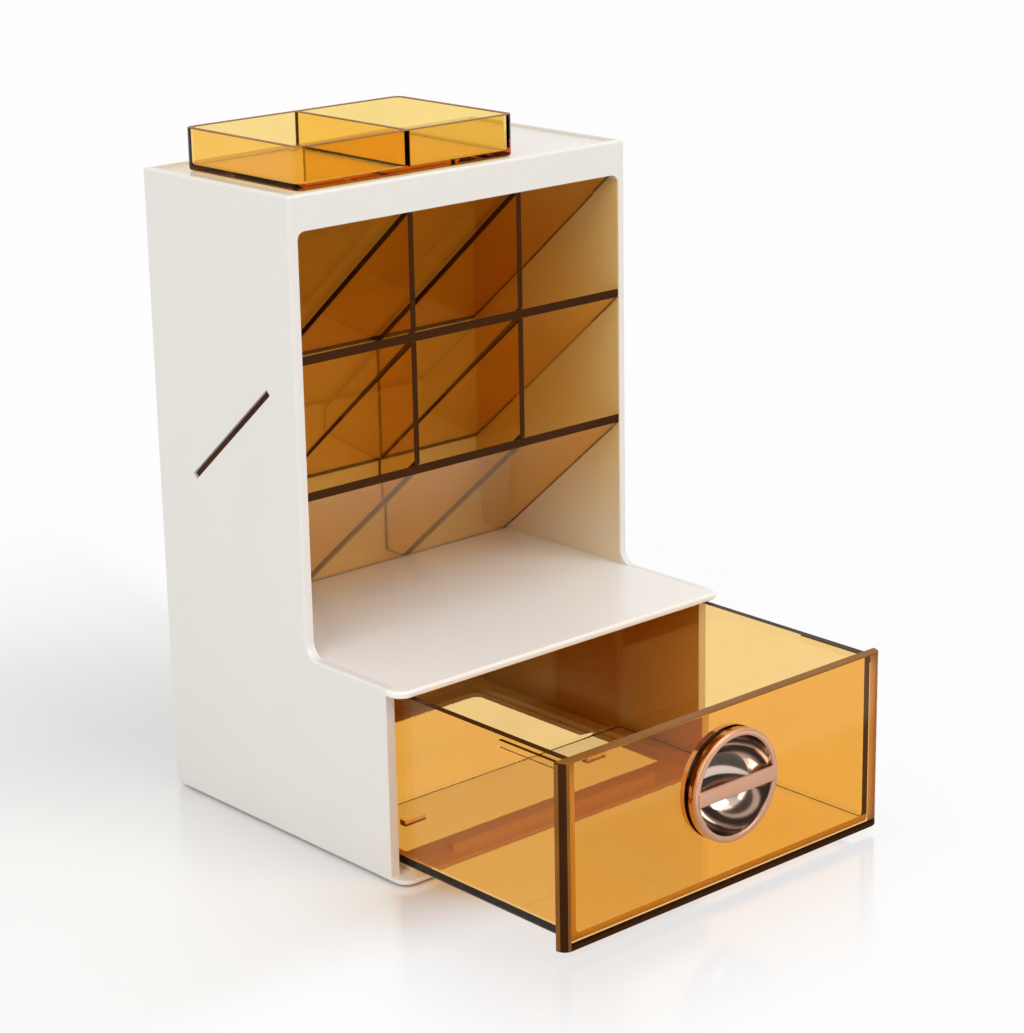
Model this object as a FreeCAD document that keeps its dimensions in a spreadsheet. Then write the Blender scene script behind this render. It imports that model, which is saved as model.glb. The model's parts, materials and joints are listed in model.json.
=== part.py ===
# Desk organiser for brushes and small things: a white L-shaped carcass whose column holds slanted amber
# compartments, an amber drawer in the low base zone and a loose amber tray on top.
#
# Frame: +X to the right, +Y to the back, +Z up, millimetres. Every piece is drawn in the carcass's frame,
# where y = 0 is the front edge of the side panels and z = 0 is the floor, with the drawer shut. The
# placements then pull the drawer out to its rest position and move the whole part so that the origin lies
# on the floor under the middle of its bounding box.

import FreeCAD, Part
import math
import os
import Sketcher
from FreeCAD import Rotation, Vector

document = FreeCAD.newDocument("BrushHolder")

# ------------------------------------------------------------------ driving dimensions

driving_sizes = {
    # carcass
    "case_width": 130,
    "case_depth": 106.5,
    "case_height": 195.8,
    "column_front": 36.4,
    "deck_height": 59.9,
    "side_thickness": 3,
    "back_thickness": 2,
    "deck_thickness": 2,
    "base_thickness": 1.6,
    "top_thickness": 2.5,
    "lip_reach": 6,
    "lip_corner_radius": 4.5,
    "lip_lower_edge_radius": 0.4,
    "arris_radius": 1,
    "step_corner_radius": 5,
    "back_corner_radius": 3,
    "band_height": 10.4,
    "band_thickness": 2.2,
    "opening_corner_radius": 2.5,
    "recess_depth": 1,
    "recess_rim": 2,
    # feet
    "foot_height": 0.6,
    "foot_radius": 4,
    "foot_inset": 4.5,
    # slanted sheets and dividers
    "sheet_thickness": 2,
    "lower_sheet_rise": 48.3,
    "sheet_foot_setback": 11.5,
    "divider_thickness": 2,
    "tongue_depth": 1,
    "tongue_setback": 3,
    "slot_start": 17,
    "slot_length": 50,
    "tab_recess": 0.8,
    "fit_gap": 0.1,
    # drawer
    "slide_gap": 0.3,
    "runner_height": 2,
    "runner_width": 4.4,
    "runner_inset": 2.4,
    # window in the floor of the drawer bay
    "window_side_land": 0.6,
    "window_front_land": 6,
    "window_back_land": 6,
    "window_corner_radius": 3,
    "drawer_side_gap": 1.6,
    "drawer_back_gap": 1,
    "drawer_closing_gap": 0.8,
    "drawer_rest_opening": 68.1,
    "drawer_spare_opening": 18.1,
    "front_thickness": 3.3,
    "front_side_reveal": 0.8,
    "front_corner_radius": 3.2,
    "front_edge_radius": 0.5,
    "tub_wall": 2.3,
    "tub_floor": 2,
    "tub_top_drop": 0.4,
    "tub_corner_radius": 3,
    "tub_floor_radius": 1.2,
    "rib_length": 25,
    "rib_height": 2,
    "rib_reach": 1.2,
    "rib_drop": 1,
    "stop_height": 1.9,
    "stop_thickness": 3,
    "stop_half_width": 40,
    "lug_height": 1.8,
    "lug_thickness": 2.5,
    "lug_width": 8,
    # round pull
    "pull_rise": 4,
    "pull_radius": 16.7,
    "pull_opening_radius": 14.7,
    "pull_rim_height": 2.9,
    "pull_depth": 12.5,
    "pull_wall": 0.8,
    "pull_rim_radius": 0.8,
    "bar_width": 5.6,
    "bar_thickness": 1,
    "bar_bow": 0.3,
    "bar_end_inset": 0.5,
    "bar_end_radius": 2.2,
    "retainer_thickness": 1.6,
    # loose tray
    "tray_length": 82,
    "tray_width": 54.2,
    "tray_height": 12.7,
    "tray_wall": 1.7,
    "tray_corner_radius": 3,
    "tray_side_gap": 6.6,
    "tray_front_gap": 4.2,
    "tray_seat_gap": 0.3,
}

sizes = document.addObject("Spreadsheet::Sheet", "Sizes")
for row, (alias, number) in enumerate(driving_sizes.items(), start=1):
    sizes.set(f"A{row}", alias.replace("_", " "))
    sizes.set(f"B{row}", str(number))
    sizes.setAlias(f"B{row}", alias)
document.recompute()

# ------------------------------------------------------------------ sizes that follow from them

half_width = "(Sizes.case_width / 2)"
inner_half = f"({half_width} - Sizes.side_thickness)"
back_inner = "(Sizes.case_depth - Sizes.back_thickness)"
band_bottom = "(Sizes.case_height - Sizes.band_height)"
cap_seam = f"({band_bottom} - Sizes.opening_corner_radius)"
recess_floor = "(Sizes.case_height - Sizes.recess_depth)"
cap_underside = f"({recess_floor} - Sizes.top_thickness)"
deck_underside = "(Sizes.deck_height - Sizes.deck_thickness)"
base_top = "(Sizes.foot_height + Sizes.base_thickness)"

# The slanted sheets are parallel. The lower one runs from the column front down to the deck.
sheet_slope = f"(Sizes.lower_sheet_rise / ({back_inner} - Sizes.sheet_foot_setback - Sizes.column_front))"
sheet_cosine = f"(1 / sqrt(1 + {sheet_slope} ^ 2))"
sheet_sine = f"({sheet_slope} * {sheet_cosine})"
half_edge = f"(Sizes.sheet_thickness / 2 / {sheet_cosine})"
band_back = "(Sizes.column_front + Sizes.band_thickness)"
lower_height = "(Sizes.deck_height + Sizes.lower_sheet_rise)"
upper_height = f"({band_bottom} + {half_edge} + {sheet_slope} * Sizes.band_thickness)"
middle_height = f"(({lower_height} + {upper_height}) / 2)"
sheet_heights = {"upper": upper_height, "middle": middle_height, "lower": lower_height}
divider_spacing = f"((2 * {inner_half} + Sizes.divider_thickness) / 3)"
lap_middle = f"((Sizes.column_front + {back_inner}) / 2)"

# The drawer runs on the base rails, under the deck.
drawer_bottom = f"({base_top} + Sizes.runner_height + Sizes.slide_gap)"
front_bottom = f"({base_top} + Sizes.slide_gap)"
front_top = f"({deck_underside} - Sizes.slide_gap)"
front_back = "(-Sizes.drawer_closing_gap)"
front_face = f"({front_back} - Sizes.front_thickness)"
tub_top = f"({front_top} - Sizes.tub_top_drop)"
tub_half = f"({inner_half} - Sizes.drawer_side_gap)"
tub_back = f"({back_inner} - Sizes.drawer_back_gap)"
lug_front = (
    "(Sizes.stop_thickness + Sizes.drawer_closing_gap + Sizes.slide_gap"
    " + Sizes.drawer_rest_opening + Sizes.drawer_spare_opening)"
)

# The round pull: its bowl is part of a ball, and its height 0 is the face of the drawer front.
pull_height = f"(({front_bottom} + {front_top}) / 2 + Sizes.pull_rise)"
bowl_drop = "(Sizes.pull_rim_height + Sizes.pull_depth)"
bowl_radius = f"((Sizes.pull_opening_radius ^ 2 + {bowl_drop} ^ 2) / 2 / {bowl_drop})"
bowl_centre = f"({bowl_radius} - Sizes.pull_depth)"
bowl_outer = f"({bowl_radius} + Sizes.pull_wall)"


def bowl_outer_at(depth):
    """Outer radius of the bowl at a depth behind the drawer front's face."""
    return f"sqrt({bowl_outer} ^ 2 - ({bowl_centre} + {depth}) ^ 2)"


# The whole part is moved along Y so that its bounding box is centred on the origin.
foremost = (
    f"({front_face} - Sizes.drawer_rest_opening - Sizes.pull_rim_height"
    " - Sizes.bar_thickness - Sizes.bar_bow)"
)
origin_shift = f"(-(Sizes.case_depth + {foremost}) / 2)"
drawer_shift = f"({origin_shift} - Sizes.drawer_rest_opening)"

# ------------------------------------------------------------------ drawing tools

tolerance = 0.01


def value(expression):
    """The number that an expression has now."""
    return float(sizes.evalExpression(str(expression)))


def new_body(label, shift=origin_shift):
    """An empty body that its placement moves along Y."""
    body = document.addObject("PartDesign::Body", label)
    body.Label = label
    body.setExpression("Placement.Base.y", shift)
    return body


def arc_between(start, end, radius, side):
    """The shorter arc from start to end, with its centre to the left (side 1) or right (side -1)."""
    chord = end - start
    across = Vector(-chord.y, chord.x, 0).normalize()
    reach = math.sqrt(max(radius ** 2 - (chord.Length / 2) ** 2, 0))
    centre = (start + end) / 2 + across * (side * reach)
    middle = centre - across * (side * radius)
    return Part.ArcOfCircle(start, middle, end)


def outline(body, name, plane, corners, offset="0"):
    """A closed sketch. A corner is (x, y), or (x, y, radius, side) where an arc leaves it."""
    role = {"XY": "XY_Plane", "XZ": "XZ_Plane", "YZ": "YZ_Plane"}[plane]
    origin_plane = [item for item in body.Origin.OriginFeatures if item.Role == role][0]
    sketch = body.newObject("Sketcher::SketchObject", f"{body.Label}_{name}")
    sketch.AttachmentSupport = (origin_plane, [""])
    sketch.MapMode = "FlatFace"
    sketch.setExpression("AttachmentOffset.Base.z", offset)
    add_loop(sketch, corners)
    return sketch


def add_loop(sketch, corners):
    """Add one closed loop of lines and arcs to a sketch, with every corner bound to the sheet."""
    points = [Vector(value(corner[0]), value(corner[1]), 0) for corner in corners]
    first = sketch.GeometryCount
    for index, corner in enumerate(corners):
        start = points[index]
        end = points[(index + 1) % len(points)]
        if len(corner) == 4:
            sketch.addGeometry(arc_between(start, end, value(corner[2]), corner[3]))
        else:
            sketch.addGeometry(Part.LineSegment(start, end))
    ends = [corner_ends(sketch, first + index, points[index]) for index in range(len(corners))]
    for index, corner in enumerate(corners):
        before = (index - 1) % len(corners)
        last = (first + before, ends[before][1])
        here = (first + index, ends[index][0])
        sketch.addConstraint(Sketcher.Constraint("Coincident", *last, *here))
        for kind, expression in (("DistanceX", corner[0]), ("DistanceY", corner[1])):
            number = sketch.addConstraint(Sketcher.Constraint(kind, -1, 1, *here, value(expression)))
            sketch.setExpression(f"Constraints[{number}]", str(expression))
        if len(corner) == 4:
            number = sketch.addConstraint(Sketcher.Constraint("Radius", first + index, value(corner[2])))
            sketch.setExpression(f"Constraints[{number}]", str(corner[2]))


def corner_ends(sketch, geometry, start):
    """The point numbers of a sketch element's ends, the end at start first."""
    at_start = (sketch.getPoint(geometry, 1) - start).Length < tolerance
    return (1, 2) if at_start else (2, 1)


def rectangle(low_x, high_x, low_y, high_y):
    """The four corners of a rectangle."""
    return [(low_x, low_y), (high_x, low_y), (high_x, high_y), (low_x, high_y)]


def pad(body, sketch, length, reversed_side=False):
    """Add material on the sketch, towards its normal or, reversed, against it."""
    feature = body.newObject("PartDesign::Pad", f"{sketch.Label}_pad")
    feature.Profile = sketch
    feature.setExpression("Length", length)
    feature.Reversed = reversed_side
    document.recompute()
    return feature


def pocket(body, sketch, length, reversed_side=False):
    """Remove material under the sketch, against its normal or, reversed, towards it."""
    before = body.Tip.Shape.Volume
    feature = body.newObject("PartDesign::Pocket", f"{sketch.Label}_pocket")
    feature.Profile = sketch
    feature.setExpression("Length", length)
    feature.Reversed = reversed_side
    document.recompute()
    if feature.Shape.Volume > before - tolerance:
        raise RuntimeError(f"{feature.Label} removes nothing")
    return feature


def revolve(body, sketch):
    """Turn the sketch once around its vertical axis."""
    feature = body.newObject("PartDesign::Revolution", f"{sketch.Label}_revolution")
    feature.Profile = sketch
    feature.ReferenceAxis = (sketch, ["V_Axis"])
    feature.Angle = 360
    document.recompute()
    return feature


def lies_at(box, axis, place):
    """Whether a box is flat at a place along one axis."""
    low = getattr(box, f"{axis}Min")
    high = getattr(box, f"{axis}Max")
    return abs(low - place) < tolerance and abs(high - place) < tolerance


def upright_at(box, places_x, places_y):
    """Whether an upright edge's box stands at one of the places along X and one of those along Y."""
    return any(lies_at(box, "X", place) for place in places_x) and any(
        lies_at(box, "Y", place) for place in places_y
    )


def round_edges(body, name, radius, wanted):
    """Round the edges of the body's tip whose bounding boxes are wanted."""
    base = body.Tip
    chosen = [
        f"Edge{number}"
        for number, edge in enumerate(base.Shape.Edges, start=1)
        if wanted(edge.BoundBox)
    ]
    if not chosen:
        raise RuntimeError(f"{body.Label}: no edge for {name}")
    feature = body.newObject("PartDesign::Fillet", f"{body.Label}_{name}")
    feature.Base = (base, chosen)
    feature.setExpression("Radius", radius)
    document.recompute()
    return feature


# ------------------------------------------------------------------ the slanted sheets' own geometry


def sheet_at(height, along, above):
    """The (y, z) of a point on a sheet: along its slope from the column front, and above its middle."""
    across = f"(Sizes.column_front + ({along}) * {sheet_cosine} + ({above}) * {sheet_sine})"
    upward = f"({height} - ({along}) * {sheet_sine} + ({above}) * {sheet_cosine})"
    return across, upward


def sheet_between(height, start, end, spread="0"):
    """The four corners of a sheet's slice between two planes y = start and y = end."""
    half = f"({half_edge} + {spread} / {sheet_cosine})"
    corners = []
    for place, sign in ((start, "-"), (end, "-"), (end, "+"), (start, "+")):
        corners.append((place, f"{height} - ({place} - Sizes.column_front) * {sheet_slope} {sign} {half}"))
    return corners


def lower_end(above):
    """Where the lower sheet's face, or its middle, comes down to its seat just above the deck."""
    fall = f"(Sizes.lower_sheet_rise + {above} - Sizes.fit_gap)"
    return f"(Sizes.column_front + {fall} / {sheet_slope})"


def tongue_ends(which):
    """The planes y between which a sheet's tongues lie in the side panels, below the cap."""
    front = "Sizes.column_front"
    if which == "upper":
        front = f"(Sizes.column_front + ({upper_height} + {half_edge} - {cap_seam}) / {sheet_slope})"
    back = lower_end(f"(-{half_edge})") if which == "lower" else back_inner
    return f"({front} + Sizes.tongue_setback)", f"({back} - Sizes.tongue_setback)"


def slot_corners(spread):
    """The outline of the slot in a side panel, or of the tab that lies in it."""
    half = f"(Sizes.sheet_thickness / 2 + {spread})"
    start = f"(Sizes.slot_start - {spread})"
    end = f"(Sizes.slot_start + Sizes.slot_length + {spread})"
    return [
        sheet_at(middle_height, start, f"(-{half})"),
        sheet_at(middle_height, end, f"(-{half})"),
        sheet_at(middle_height, end, half),
        sheet_at(middle_height, start, half),
    ]


# ------------------------------------------------------------------ white carcass


def side_panel(label, side):
    """An L-shaped cheek with the slot for the middle sheet's tab and three grooves. side is -1 or 1."""
    body = new_body(label)
    outer_face = f"({side} * {half_width})"
    inner_face = f"({side} * {inner_half})"
    low_face = outer_face if side < 0 else inner_face
    high_face = inner_face if side < 0 else outer_face
    back_turn = "(Sizes.case_depth - Sizes.back_corner_radius)"
    bottom_turn = "(Sizes.foot_height + Sizes.back_corner_radius)"
    step_turn_y = "(Sizes.column_front - Sizes.step_corner_radius)"
    step_turn_z = "(Sizes.deck_height + Sizes.step_corner_radius)"
    profile = [
        ("0", "Sizes.foot_height"),
        (back_turn, "Sizes.foot_height", "Sizes.back_corner_radius", 1),
        ("Sizes.case_depth", bottom_turn),
        ("Sizes.case_depth", cap_seam),
        ("Sizes.column_front", cap_seam),
        ("Sizes.column_front", step_turn_z, "Sizes.step_corner_radius", -1),
        (step_turn_y, "Sizes.deck_height"),
        ("0", "Sizes.deck_height"),
    ]
    pad(body, outline(body, "profile", "YZ", profile, low_face), "Sizes.side_thickness")
    face = value(outer_face)
    seam = value(cap_seam)
    round_edges(
        body,
        "outer_arris",
        "Sizes.arris_radius",
        lambda box: lies_at(box, "X", face) and not lies_at(box, "Z", seam) and not lies_at(box, "Y", 0),
    )
    slot = outline(body, "tab_slot", "YZ", slot_corners("Sizes.fit_gap"), high_face)
    pocket(body, slot, "Sizes.side_thickness")
    for which, height in sheet_heights.items():
        start, end = tongue_ends(which)
        groove = sheet_between(
            height, f"({start} - Sizes.fit_gap)", f"({end} + Sizes.fit_gap)", "Sizes.fit_gap"
        )
        sketch = outline(body, f"{which}_groove", "YZ", groove, inner_face)
        pocket(body, sketch, "Sizes.tongue_depth", reversed_side=side > 0)
    return body


def top_panel():
    """The cap: a plate with the front band, the opening's rounded corners and the recess for the tray."""
    body = new_body("top_panel")
    plan = rectangle(f"(-{half_width})", half_width, "Sizes.column_front", "Sizes.case_depth")
    pad(body, outline(body, "plan", "XY", plan, cap_seam), f"(Sizes.case_height - {cap_seam})")
    hollow = rectangle(f"(-{inner_half})", inner_half, band_back, "Sizes.case_depth")
    sketch = outline(body, "hollow", "XY", hollow, cap_seam)
    pocket(body, sketch, f"({cap_underside} - {cap_seam})", reversed_side=True)
    corner = f"({inner_half} - Sizes.opening_corner_radius)"
    opening = [
        (f"(-{inner_half})", cap_seam),
        (inner_half, cap_seam, "Sizes.opening_corner_radius", 1),
        (corner, band_bottom),
        (f"(-{corner})", band_bottom, "Sizes.opening_corner_radius", 1),
    ]
    sketch = outline(body, "opening", "XZ", opening, "(-Sizes.column_front)")
    pocket(body, sketch, "Sizes.band_thickness")
    recess = rectangle(
        f"(-{half_width} + Sizes.recess_rim)",
        f"({half_width} - Sizes.recess_rim)",
        "(Sizes.column_front + Sizes.recess_rim)",
        "(Sizes.case_depth - Sizes.recess_rim)",
    )
    pocket(body, outline(body, "tray_recess", "XY", recess, "Sizes.case_height"), "Sizes.recess_depth")
    side = value(half_width)
    front = value("Sizes.column_front")
    back = value("Sizes.case_depth")
    top = value("Sizes.case_height")

    def outer(box):
        upright = lies_at(box, "X", side) or lies_at(box, "X", -side)
        ends = lies_at(box, "Y", front) or lies_at(box, "Y", back)
        return (upright and ends) or (lies_at(box, "Z", top) and (upright or ends))

    round_edges(body, "outer_arris", "Sizes.arris_radius", outer)
    return body


def lipped_plan():
    """Plan of the deck and of the base: between the side panels, with a full-width lip ahead of them."""
    return [
        (f"(-{half_width})", "(-Sizes.lip_reach)"),
        (half_width, "(-Sizes.lip_reach)"),
        (half_width, "0"),
        (inner_half, "0"),
        (inner_half, back_inner),
        (f"(-{inner_half})", back_inner),
        (f"(-{inner_half})", "0"),
        (f"(-{half_width})", "0"),
    ]


def round_lip(body, outer_height, inner_height):
    """Round a lip's plan corners, then its outer arris and its edge on the drawer's side."""
    side = value(half_width)
    front = value("(-Sizes.lip_reach)")
    outer = value(outer_height)
    inner = value(inner_height)
    round_edges(
        body,
        "plan_corners",
        "Sizes.lip_corner_radius",
        lambda box: upright_at(box, (side, -side), (front,)),
    )
    round_edges(
        body,
        "outer_arris",
        "Sizes.arris_radius",
        lambda box: lies_at(box, "Z", outer) and lies_at(box, "Y", front),
    )
    round_edges(
        body,
        "drawer_side_edge",
        "Sizes.lip_lower_edge_radius",
        lambda box: lies_at(box, "Z", inner) and lies_at(box, "Y", front),
    )


def deck_panel():
    """The shelf over the drawer."""
    body = new_body("deck_panel")
    pad(body, outline(body, "plan", "XY", lipped_plan(), deck_underside), "Sizes.deck_thickness")
    round_lip(body, "Sizes.deck_height", deck_underside)
    return body


def base_panel():
    """The floor of the drawer bay: a frame around a window, with runner rails and the drawer's stop."""
    body = new_body("base_panel")
    pad(body, outline(body, "plan", "XY", lipped_plan(), "Sizes.foot_height"), "Sizes.base_thickness")
    round_lip(body, "Sizes.foot_height", base_top)
    outer = f"({tub_half} - Sizes.runner_inset)"
    inner = f"({outer} - Sizes.runner_width)"
    rails = outline(body, "rails", "XY", rectangle(inner, outer, "0", back_inner), base_top)
    add_loop(rails, rectangle(f"(-{outer})", f"(-{inner})", "0", back_inner))
    pad(body, rails, "Sizes.runner_height")
    bar = rectangle("(-Sizes.stop_half_width)", "Sizes.stop_half_width", "0", "Sizes.stop_thickness")
    pad(body, outline(body, "stop", "XY", bar, base_top), "Sizes.stop_height")
    window = rectangle(
        f"(-{inner} + Sizes.window_side_land)",
        f"({inner} - Sizes.window_side_land)",
        "(Sizes.stop_thickness + Sizes.window_front_land)",
        f"({back_inner} - Sizes.window_back_land)",
    )
    pocket(body, outline(body, "window", "XY", window, base_top), "Sizes.base_thickness")
    sides = (value(window[0][0]), value(window[1][0]))
    ends = (value(window[0][1]), value(window[2][1]))
    round_edges(
        body,
        "window_corners",
        "Sizes.window_corner_radius",
        lambda box: upright_at(box, sides, ends),
    )
    return body


def back_panel():
    """The back wall between the side panels, rounded at its foot like their outline."""
    body = new_body("back_panel")
    turn = "(Sizes.foot_height + Sizes.back_corner_radius)"
    reach = "(Sizes.back_corner_radius - Sizes.back_thickness)"
    inner_foot = f"({turn} - sqrt(Sizes.back_corner_radius ^ 2 - {reach} ^ 2))"
    profile = [
        (back_inner, inner_foot, "Sizes.back_corner_radius", 1),
        ("Sizes.case_depth", turn),
        ("Sizes.case_depth", cap_underside),
        (back_inner, cap_underside),
    ]
    pad(body, outline(body, "profile", "YZ", profile, f"(-{inner_half})"), f"(2 * {inner_half})")
    return body


def foot(label, side, place):
    """A thin round rubber pad under the base. side is -1 or 1, place its y."""
    pad_foot = document.addObject("Part::Cylinder", label)
    pad_foot.Label = label
    pad_foot.setExpression("Radius", "Sizes.foot_radius")
    pad_foot.setExpression("Height", "Sizes.foot_height")
    pad_foot.setExpression("Placement.Base.x", f"{side} * ({inner_half} - Sizes.foot_inset)")
    pad_foot.setExpression("Placement.Base.y", f"{place} + {origin_shift}")
    return pad_foot


# ------------------------------------------------------------------ amber sheets and dividers


def slant_sheet(which):
    """A slanted sheet with a tongue along each side that lies in the side panels' grooves."""
    height = sheet_heights[which]
    body = new_body(f"{which}_slant_sheet")
    front = f"({band_back} + Sizes.fit_gap)" if which == "upper" else "Sizes.column_front"
    half = f"({inner_half} - Sizes.fit_gap)"
    if which == "lower":
        seat = "(Sizes.deck_height + Sizes.fit_gap)"
        profile = [
            ("Sizes.column_front", f"({height} - {half_edge})"),
            (lower_end(f"(-{half_edge})"), seat),
            (lower_end(half_edge), seat),
            ("Sizes.column_front", f"({height} + {half_edge})"),
        ]
    else:
        profile = sheet_between(height, front, f"({back_inner} - Sizes.fit_gap)")
    pad(body, outline(body, "profile", "YZ", profile, f"(-{half})"), f"(2 * {half})")
    reach = f"({inner_half} + Sizes.tongue_depth - Sizes.fit_gap)"
    tongue = sheet_between(height, *tongue_ends(which))
    pad(body, outline(body, "tongue", "YZ", tongue, f"(-{reach})"), f"(2 * {reach})")
    return body


def middle_sheet():
    """The middle sheet: its tabs reach into the side panels' slots, and two notches take the dividers."""
    body = slant_sheet("middle")
    reach = f"({half_width} - Sizes.tab_recess)"
    pad(body, outline(body, "tab", "YZ", slot_corners("0"), f"(-{reach})"), f"(2 * {reach})")
    sketch = None
    for side in (-1, 1):
        centre = f"({side} * {divider_spacing} / 2)"
        half = "(Sizes.divider_thickness / 2 + Sizes.fit_gap)"
        loop = rectangle(f"({centre} - {half})", f"({centre} + {half})", lap_middle, back_inner)
        if sketch is None:
            sketch = outline(body, "divider_notches", "XY", loop, middle_height)
        else:
            add_loop(sketch, loop)
    pocket(body, sketch, middle_height)
    return body


def divider(label, side):
    """An upright partition from the upper sheet down to the lower one and the deck behind it."""
    body = new_body(label)
    face = f"({side} * {divider_spacing} / 2 - Sizes.divider_thickness / 2)"
    back = f"({back_inner} - Sizes.fit_gap)"
    fall = f"({back} - Sizes.column_front) * {sheet_slope}"
    clear = f"({half_edge} + Sizes.fit_gap / {sheet_cosine})"
    top = f"({band_bottom} - Sizes.fit_gap)"
    seat = "(Sizes.deck_height + Sizes.fit_gap)"
    top_turn = f"(Sizes.column_front + ({upper_height} - {clear} - {top}) / {sheet_slope})"
    profile = [
        ("Sizes.column_front", f"({lower_height} + {clear})"),
        (f"(Sizes.column_front + ({lower_height} + {clear} - {seat}) / {sheet_slope})", seat),
        (back, seat),
        (back, f"({upper_height} - {fall} - {clear})"),
        (top_turn, top),
        ("Sizes.column_front", top),
    ]
    pad(body, outline(body, "profile", "YZ", profile, face), "Sizes.divider_thickness")
    notch_end = f"({lap_middle} + Sizes.fit_gap)"
    notch = sheet_between(middle_height, "Sizes.column_front", notch_end, "Sizes.fit_gap")
    sketch = outline(body, "sheet_notch", "YZ", notch, f"({face} + Sizes.divider_thickness)")
    pocket(body, sketch, "Sizes.divider_thickness")
    return body


# ------------------------------------------------------------------ drawer


def drawer_tub():
    """The drawer's floor, sides and back, with ribs outside its sides and lugs that meet the stop."""
    body = new_body("drawer_tub", drawer_shift)
    front = f"({front_back} + Sizes.fit_gap)"
    plan = rectangle(f"(-{tub_half})", tub_half, front, tub_back)
    pad(body, outline(body, "plan", "XY", plan, drawer_bottom), f"({tub_top} - {drawer_bottom})")
    side = value(tub_half)
    back = value(tub_back)
    bottom = value(drawer_bottom)
    round_edges(
        body,
        "back_corners",
        "Sizes.tub_corner_radius",
        lambda box: upright_at(box, (side, -side), (back,)),
    )
    inner = f"({tub_half} - Sizes.tub_wall)"
    inner_back = f"({tub_back} - Sizes.tub_wall)"
    inside = rectangle(f"(-{inner})", inner, front, inner_back)
    depth = f"({tub_top} - {drawer_bottom} - Sizes.tub_floor)"
    pocket(body, outline(body, "inside", "XY", inside, tub_top), depth)
    inner_side = value(inner)
    inner_end = value(inner_back)
    floor = value(f"{drawer_bottom} + Sizes.tub_floor")
    round_edges(
        body,
        "inner_corners",
        "(Sizes.tub_corner_radius - Sizes.tub_wall / 2)",
        lambda box: upright_at(box, (inner_side, -inner_side), (inner_end,)),
    )
    round_edges(
        body,
        "floor_corner",
        "Sizes.tub_floor_radius",
        lambda box: lies_at(box, "Z", floor) and lies_at(box, "Y", inner_end),
    )
    round_edges(
        body,
        "lower_edge",
        "Sizes.tub_floor_radius",
        lambda box: lies_at(box, "Z", bottom) and lies_at(box, "Y", back),
    )
    rib_top = f"({tub_top} - Sizes.rib_drop)"
    for name, low, high in (
        ("left_rib", f"(-{tub_half} - Sizes.rib_reach)", f"(-{tub_half} + Sizes.tub_wall / 2)"),
        ("right_rib", f"({tub_half} - Sizes.tub_wall / 2)", f"({tub_half} + Sizes.rib_reach)"),
    ):
        loop = rectangle(low, high, front, f"({front} + Sizes.rib_length)")
        sketch = outline(body, name, "XY", loop, rib_top)
        pad(body, sketch, "Sizes.rib_height", reversed_side=True)
    for name, side_sign in (("left_lug", -1), ("right_lug", 1)):
        centre = f"({side_sign} * (Sizes.stop_half_width - Sizes.lug_width / 2))"
        loop = rectangle(
            f"({centre} - Sizes.lug_width / 2)",
            f"({centre} + Sizes.lug_width / 2)",
            lug_front,
            f"({lug_front} + Sizes.lug_thickness)",
        )
        sketch = outline(body, name, "XY", loop, drawer_bottom)
        pad(body, sketch, "Sizes.lug_height", reversed_side=True)
    return body


def drawer_front():
    """The front plate, with rounded upright edges and the hole for the pull."""
    body = new_body("drawer_front", drawer_shift)
    half = f"({half_width} - Sizes.front_side_reveal)"
    plan = rectangle(f"(-{half})", half, front_face, front_back)
    pad(body, outline(body, "plan", "XY", plan, front_bottom), f"({front_top} - {front_bottom})")
    side = value(half)
    face = value(front_face)
    top = value(front_top)
    bottom = value(front_bottom)
    round_edges(
        body,
        "upright_edges",
        "Sizes.front_corner_radius",
        lambda box: upright_at(box, (side, -side), (face,)),
    )
    round_edges(
        body,
        "face_edges",
        "Sizes.front_edge_radius",
        lambda box: lies_at(box, "Y", face) and (lies_at(box, "Z", top) or lies_at(box, "Z", bottom)),
    )
    hole = outline(body, "pull_hole", "XZ", [], f"(-{front_face})")
    radius = f"({bowl_outer_at('0')} + Sizes.fit_gap)"
    hole.addGeometry(Part.Circle(Vector(0, value(pull_height), 0), Vector(0, 0, 1), value(radius)))
    for kind, expression in (("DistanceX", "0"), ("DistanceY", pull_height)):
        number = hole.addConstraint(Sketcher.Constraint(kind, -1, 1, 0, 3, value(expression)))
        hole.setExpression(f"Constraints[{number}]", expression)
    number = hole.addConstraint(Sketcher.Constraint("Radius", 0, value(radius)))
    hole.setExpression(f"Constraints[{number}]", radius)
    pocket(body, hole, "Sizes.front_thickness", reversed_side=False)
    return body


def place_on_pull(body):
    """Stand a piece of the pull on the drawer front's face, with its own +Z facing forward."""
    body.Placement.Rotation = Rotation(Vector(1, 0, 0), 90)
    body.setExpression("Placement.Base.y", f"({drawer_shift} + {front_face})")
    body.setExpression("Placement.Base.z", pull_height)


def pull_cup():
    """Flange and bowl of the round pull, turned from one profile."""
    body = new_body("pull_cup")
    place_on_pull(body)
    profile = [
        ("0", "(-Sizes.pull_depth - Sizes.pull_wall)", bowl_outer, 1),
        (bowl_outer_at("0"), "0"),
        ("Sizes.pull_radius", "0"),
        ("Sizes.pull_radius", "Sizes.pull_rim_height"),
        ("Sizes.pull_opening_radius", "Sizes.pull_rim_height", bowl_radius, -1),
        ("0", "(-Sizes.pull_depth)"),
    ]
    revolve(body, outline(body, "profile", "XZ", profile))
    rim = value("Sizes.pull_rim_height")
    reach = value("Sizes.pull_radius")
    round_edges(
        body,
        "rim_edge",
        "Sizes.pull_rim_radius",
        lambda box: lies_at(box, "Z", rim) and abs(box.XMax - reach) < tolerance,
    )
    return body


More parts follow.
